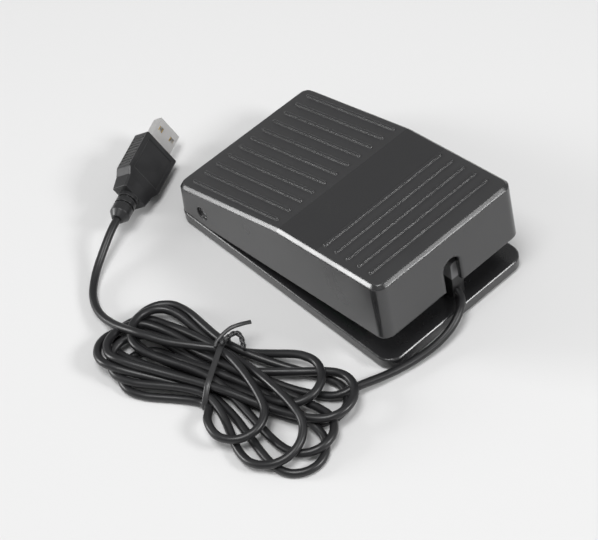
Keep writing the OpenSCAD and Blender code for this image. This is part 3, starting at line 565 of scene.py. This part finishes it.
def round_edges(tree, shader, radius, height, depth):
    edge = add(tree, "ShaderNodeBevel", samples=EDGE_SAMPLES)
    if isinstance(radius, (int, float)):
        edge.inputs["Radius"].default_value = radius * MM
    else:
        tree.links.new(radius, edge.inputs["Radius"])
    bump = add(tree, "ShaderNodeBump")
    bump.inputs["Strength"].default_value = 1
    bump.inputs["Distance"].default_value = depth * MM
    tree.links.new(height, bump.inputs["Height"])
    tree.links.new(edge.outputs["Normal"], bump.inputs["Normal"])
    tree.links.new(bump.outputs["Normal"], shader.inputs["Normal"])


def wear(tree, shader, where, shiny, dull, spots):
    patches = speckle(tree, where, spots, 6)
    tree.links.new(between(tree, patches, shiny, dull), shader.inputs["Roughness"])


def moulded(name, colour, shiny, dull, edge=0.3, grain=6.0, depth=0.004, mirror=1.5):
    material, tree, shader = finish_sheet(name, colour, shiny, mirror=mirror)
    where = place_mm(tree)
    wear(tree, shader, where, shiny, dull, spots=0.15)
    round_edges(tree, shader, edge, speckle(tree, where, grain), depth)
    return material


def metal(name, colour, shiny, dull, edge=0.12, grain=3.0, depth=0.003):
    material, tree, shader = finish_sheet(name, colour, shiny, metal=1.0)
    where = place_mm(tree)
    wear(tree, shader, where, shiny, dull, spots=0.8)
    round_edges(tree, shader, edge, speckle(tree, where, grain), depth)
    return material


# %% [markdown]
# The cover is glossy black plastic, but its top isn't all shiny. A fine spark grain takes
# the shine off both planes, and only the plain band between the crease and the first cross
# rib, the ribs themselves and the rounded rim are smooth. The grain is found from the place
# on the part, not painted, so its border is crisp and it stays with the cover when it tips.

# %% Where the grain lies
CREASE_Y, CREASE_Z = -2.7, 38.4
REAR_FALL, FRONT_FALL = 0.2884, 0.1348
SMOOTH_BAND = (-24.0, CREASE_Y)
RIB_HALF_HEIGHT, RIB_BLEND = 0.35, 0.1
RIB_FIELD = ((-33, 33), (-54, 57))
FACES_UP = (0.9, 0.95)
print("plain band in mm:", round(SMOOTH_BAND[1] - SMOOTH_BAND[0], 1))


def times(tree, one, other, operation="MULTIPLY"):
    product = add(tree, "ShaderNodeMath", operation=operation)
    for socket, value in zip(product.inputs, (one, other)):
        if isinstance(value, (int, float)):
            socket.default_value = value
        else:
            tree.links.new(value, socket)
    return product.outputs[0]


def band_mask(tree, value, low, high, soft=0.25):
    above = between(tree, value, 0, 1, low - soft, low + soft)
    below = between(tree, value, 1, 0, high - soft, high + soft)
    return times(tree, above, below)


def grain_mask(tree, where):
    split = add(tree, "ShaderNodeSeparateXYZ")
    tree.links.new(where, split.inputs[0])
    y, z = split.outputs["Y"], split.outputs["Z"]
    planes = [times(tree, times(tree, y, fall), z, "ADD") for fall in (REAR_FALL, FRONT_FALL)]
    above = [times(tree, plane, CREASE_Z + fall * CREASE_Y, "SUBTRACT")
             for plane, fall in zip(planes, (REAR_FALL, FRONT_FALL))]
    height = times(tree, *above, "MAXIMUM")
    low = between(tree, height, 1, 0, RIB_HALF_HEIGHT, RIB_HALF_HEIGHT + RIB_BLEND)
    face = add(tree, "ShaderNodeNewGeometry")
    up = add(tree, "ShaderNodeSeparateXYZ")
    tree.links.new(face.outputs["True Normal"], up.inputs[0])
    flat = between(tree, up.outputs["Z"], 0, 1, *FACES_UP)
    plain = times(tree, 1, band_mask(tree, y, *SMOOTH_BAND), "SUBTRACT")
    return times(tree, times(tree, low, flat), plain)


def edge_radius(tree, where, on_ribs, on_rim):
    split = add(tree, "ShaderNodeSeparateXYZ")
    tree.links.new(where, split.inputs[0])
    inside = times(tree, band_mask(tree, split.outputs["X"], *RIB_FIELD[0]),
                   band_mask(tree, split.outputs["Y"], *RIB_FIELD[1]))
    return between(tree, inside, on_rim * MM, on_ribs * MM, 0, 1)


# %% [markdown]
# The two roughnesses are mixed by that mask, and both wander a little with a broad, soft
# noise, like plastic that hands and shoes have touched. The grain is a bump of a few
# hundredths of a millimetre, about as fine as sparks leave on a mould.

# %% The cover's plastic
GLOSS_BLACK = (0.021, 0.021, 0.022)
GLOSS_MIRROR = 1.7
SMOOTH_SHINE, GRAINED_SHINE = (0.19, 0.29), (0.42, 0.52)
SPARKS_PER_MM, SPARK_DEPTH = 2.6, 0.06
RIB_EDGE, RIM_EDGE = 0.55, 0.9


def cover_plastic():
    material, tree, shader = finish_sheet("cover_plastic_grained", GLOSS_BLACK, 0.2,
                                          mirror=GLOSS_MIRROR)
    where = place_mm(tree)
    grained = grain_mask(tree, where)
    smudge = speckle(tree, where, 0.05, 5)
    rough = add(tree, "ShaderNodeMix", data_type="FLOAT")
    tree.links.new(grained, rough.inputs["Factor"])
    tree.links.new(between(tree, smudge, *SMOOTH_SHINE), rough.inputs["A"])
    tree.links.new(between(tree, smudge, *GRAINED_SHINE), rough.inputs["B"])
    tree.links.new(rough.outputs["Result"], shader.inputs["Roughness"])
    sparks = times(tree, speckle(tree, where, SPARKS_PER_MM, 3), grained)
    round_edges(tree, shader, edge_radius(tree, where, RIB_EDGE, RIM_EDGE), sparks, SPARK_DEPTH)
    return material


# %% [markdown]
# Inside the notch stands the block that holds the cord. Its upper part is a light grey plate,
# made lighter still as painted light for the light that reaches it through the notch. Its foot
# is painted black as painted shade, the dark below the plate, so one finish changes colour at a
# height.

# %% The cord's block
PAINTED_SHADE_UP_TO, PAINTED_SHADE_BLEND = 17.0, 0.3
# The foot colour is painted shade. The plate colour is the plate's light grey with painted light
# added.
FOOT_PAINTED_SHADE, PLATE_GREY_PAINTED_LIGHT = (0.015, 0.015, 0.016), (0.23, 0.23, 0.235)


def anchor_plate_painted_light_and_shade():
    material, tree, shader = finish_sheet("anchor_plate_painted_shade_finish", PLATE_GREY_PAINTED_LIGHT, 0.35)
    where = place_mm(tree)
    split = add(tree, "ShaderNodeSeparateXYZ")
    tree.links.new(where, split.inputs[0])
    plate = between(tree, split.outputs["Z"], 0, 1, PAINTED_SHADE_UP_TO - PAINTED_SHADE_BLEND,
                    PAINTED_SHADE_UP_TO + PAINTED_SHADE_BLEND)
    colour = add(tree, "ShaderNodeMix", data_type="RGBA")
    tree.links.new(plate, colour.inputs["Factor"])
    # Below that height the block is painted black as painted shade. Above it the plate is grey
    # with painted light.
    colour.inputs["A"].default_value = (*FOOT_PAINTED_SHADE, 1)
    colour.inputs["B"].default_value = (*PLATE_GREY_PAINTED_LIGHT, 1)
    tree.links.new(colour.outputs["Result"], shader.inputs["Base Color"])
    wear(tree, shader, where, shiny=0.3, dull=0.42, spots=0.3)
    round_edges(tree, shader, radius=0.4, height=speckle(tree, where, 5), depth=0.006)
    return material


# %% [markdown]
# The other finishes are plainer. Each is a name, a colour and two roughnesses that it
# wanders between, and some have an edge, a grain and a depth of their own: the jacket of the
# cord is coarser than the base, and the plated shell of the plug is nearly without grain.

# %% Every finish
FINISHES = {
    "cover_plastic": cover_plastic(),
    "base_plastic": moulded("base_plastic_moulded", GLOSS_BLACK, 0.18, 0.3, edge=0.5,
                            mirror=GLOSS_MIRROR),
    "steel": metal("steel_brushed", (0.62, 0.62, 0.63), 0.22, 0.4),
    "spring_steel": metal("spring_steel_drawn", (0.5, 0.5, 0.52), 0.2, 0.38, edge=0.2),
    "switch_plastic": moulded("switch_plastic_moulded", (0.02, 0.02, 0.022), 0.4, 0.55),
    "red_plastic": moulded("red_plastic_moulded", (0.5, 0.03, 0.02), 0.3, 0.45),
    "brass": metal("brass_plated", (0.75, 0.56, 0.25), 0.25, 0.4),
    "board_green": moulded("board_green_lacquer", (0.01, 0.12, 0.04), 0.25, 0.4),
    "chip_black": moulded("chip_black_resin", (0.02, 0.02, 0.02), 0.5, 0.65),
    "component_tan": moulded("component_tan_ceramic", (0.38, 0.25, 0.12), 0.4, 0.5),
    "header_ivory": moulded("header_ivory_nylon", (0.7, 0.66, 0.52), 0.4, 0.5),
    "wire_colours": moulded("wire_jackets", (0.35, 0.04, 0.03), 0.35, 0.5),
    "wire_blue": moulded("wire_blue_jacket", (0.02, 0.05, 0.3), 0.35, 0.5),
    "anchor_grey": anchor_plate_painted_light_and_shade(),
    "clamp_black": moulded("clamp_black_nylon", (0.015, 0.015, 0.016), 0.4, 0.5),
    "cord_black": moulded("cord_black_jacket", (0.014, 0.014, 0.015), 0.3, 0.42, edge=0.2,
                          grain=2.0, depth=0.02),
    "tie_black": moulded("tie_black_strip", (0.03, 0.03, 0.031), 0.3, 0.42),
    "plug_black": moulded("plug_black_moulded", (0.02, 0.02, 0.021), 0.28, 0.42, edge=0.5),
    "shell_metal": metal("shell_metal_plated", (0.86, 0.85, 0.84), 0.3, 0.36, edge=0.05,
                         grain=1.5, depth=0.0004),
    "tongue_white": moulded("tongue_white_plastic", (0.75, 0.75, 0.73), 0.35, 0.45),
    "foot_rubber": moulded("foot_rubber_black", (0.02, 0.02, 0.02), 0.7, 0.85, edge=0.4,
                           grain=1.6, depth=0.05),
}
slots = {part["node"]: part["material_slot"] for part in frame["record"]["subparts"]}
print("finishes:", len(FINISHES), "slots:", len(set(slots.values())))

# %% [markdown]
# Each piece takes the finish of its slot. The round pieces come as many narrow flats, so
# faces that meet at less than thirty degrees are shaded as one smooth surface. Only the
# shading changes: no corner of the construction model moves.

# %% Put the finishes on
SMOOTH_BELOW = radians(30)


def dress(piece, finish):
    piece.data.materials.clear()
    piece.data.materials.append(finish)


for name, node in frame["nodes"].items():
    dress(node, FINISHES[slots[name]])
    node.data.shade_smooth()
    node.data.set_sharp_from_angle(angle=SMOOTH_BELOW)
made = {cord: "cord_black", spring: "spring_steel", tie_band: "tie_black"}
made.update({tail: "tie_black" for tail in tails})
for piece, slot in made.items():
    dress(piece, FINISHES[slot])
print("dressed:", len(frame["nodes"]) + len(made))

# %% [markdown]
# The pedal stands on a plain pale floor, a flat sheet that reaches far past the picture.
# A lighter paper would be burnt out by the lamps, so it is a light grey with a faint tooth.

# %% The floor
FLOOR_HALF = 3
FLOOR_GREY = (0.72, 0.72, 0.72)
floor_mesh = bpy.data.meshes.new("floor")
work = bmesh.new()
bmesh.ops.create_grid(work, x_segments=8, y_segments=8, size=FLOOR_HALF)
work.to_mesh(floor_mesh)
work.free()
floor = bpy.data.objects.new("floor", floor_mesh)
bpy.context.scene.collection.objects.link(floor)
material, tree, shader = finish_sheet("floor_paper", FLOOR_GREY, 0.75)
where = place_mm(tree)
round_edges(tree, shader, radius=0.1, height=speckle(tree, where, 1.2), depth=0.02)
dress(floor, material)
print("floor in m:", [round(side, 2) for side in floor.dimensions])

# %% [markdown]
# Black plastic is drawn by what it mirrors. A mirror ray from the camera off the top goes to
# the far right, so nothing bright stands there and the top stays dark. A lamp at the far left
# is mirrored by the rounded left edges of cover and ribs, a lamp at the near right by
# the front edges, and one overhead lights the floor, which the walls mirror.

# %% The lamps
LAMP_SPREAD = radians(100)
SKY_STRENGTH = 0.32


def lamp(name, place, target, size, power):
    light = bpy.data.lights.new(name, "AREA")
    light.shape = "RECTANGLE"
    light.size, light.size_y = size
    light.energy = power
    light.spread = LAMP_SPREAD
    holder = bpy.data.objects.new(name, light)
    holder.location = place
    way = Vector(target) - Vector(place)
    holder.rotation_euler = way.to_track_quat("-Z", "Y").to_euler()
    bpy.context.scene.collection.objects.link(holder)
    print(name, "at", place, "with", power, "W")


lamp("lamp_left", place=(-1.25, 1.38, 0.58), target=(0, 0, 0.02), size=(0.6, 0.7), power=5.5)
lamp("lamp_front", place=(0.67, -1.28, 0.96), target=(0, 0, 0.02), size=(0.5, 0.4), power=4)
lamp("lamp_over", place=(-0.4, -0.16, 1.76), target=(-0.05, 0, 0), size=(0.8, 0.8), power=6)
world = bpy.data.worlds.new("studio")
world.use_nodes = True
sky = world.node_tree.nodes["Background"]
sky.inputs["Color"].default_value = (0.9, 0.9, 0.9, 1)
sky.inputs["Strength"].default_value = SKY_STRENGTH
bpy.context.scene.world = world
bpy.context.scene.view_settings.view_transform = "Standard"
